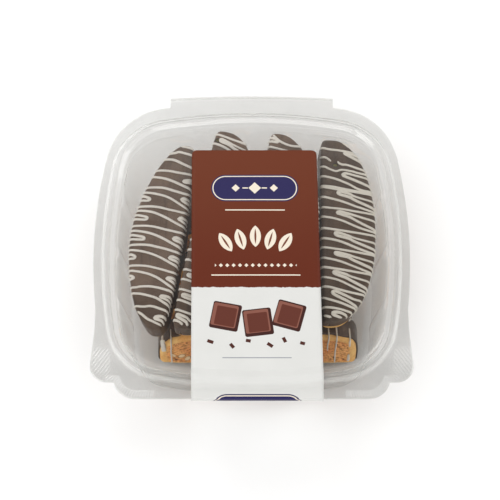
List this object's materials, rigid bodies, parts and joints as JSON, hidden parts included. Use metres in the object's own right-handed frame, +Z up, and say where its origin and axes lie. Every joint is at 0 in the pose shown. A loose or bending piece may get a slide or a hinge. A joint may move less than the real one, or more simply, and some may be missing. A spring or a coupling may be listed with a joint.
{
  "type": "clear clamshell pack of chocolate dipped almond biscotti",
  "caption": "Shut clear plastic clamshell with a paper band, filled with chocolate dipped, white drizzled almond biscotti.",
  "frame": {"origin": "middle of the tray's flat underside, under the centre of the square rim", "axes": "+Z up through the lid, -Y towards the front tab that the band runs over, +Y towards the hinge, X across the pack"},
  "size_m": [0.18, 0.1895, 0.059],
  "materials": {
    "clear_plastic": "clear thermoformed PET",
    "printed_paper": "satin printed paper",
    "baked_dough": "dry baked biscuit, porous cut face",
    "dark_chocolate": "satin dark chocolate with white drizzle"
  },
  "bodies": {
    "root": {"base": "clear_plastic", "lid": "clear_plastic", "hinge": "clear_plastic", "label_band": "printed_paper", "biscotto_upper_1": "baked_dough", "biscotto_upper_2": "baked_dough", "biscotto_upper_3": "baked_dough", "biscotto_upper_4": "baked_dough", "biscotto_lower_1": "baked_dough", "biscotto_lower_2": "baked_dough", "biscotto_lower_3": "baked_dough", "biscotto_lower_4": "baked_dough", "chocolate_upper_1": "dark_chocolate", "chocolate_upper_2": "dark_chocolate", "chocolate_upper_3": "dark_chocolate", "chocolate_upper_4": "dark_chocolate", "chocolate_lower_1": "dark_chocolate", "chocolate_lower_2": "dark_chocolate", "chocolate_lower_3": "dark_chocolate", "chocolate_lower_4": "dark_chocolate"}
  },
  "joints": []
}
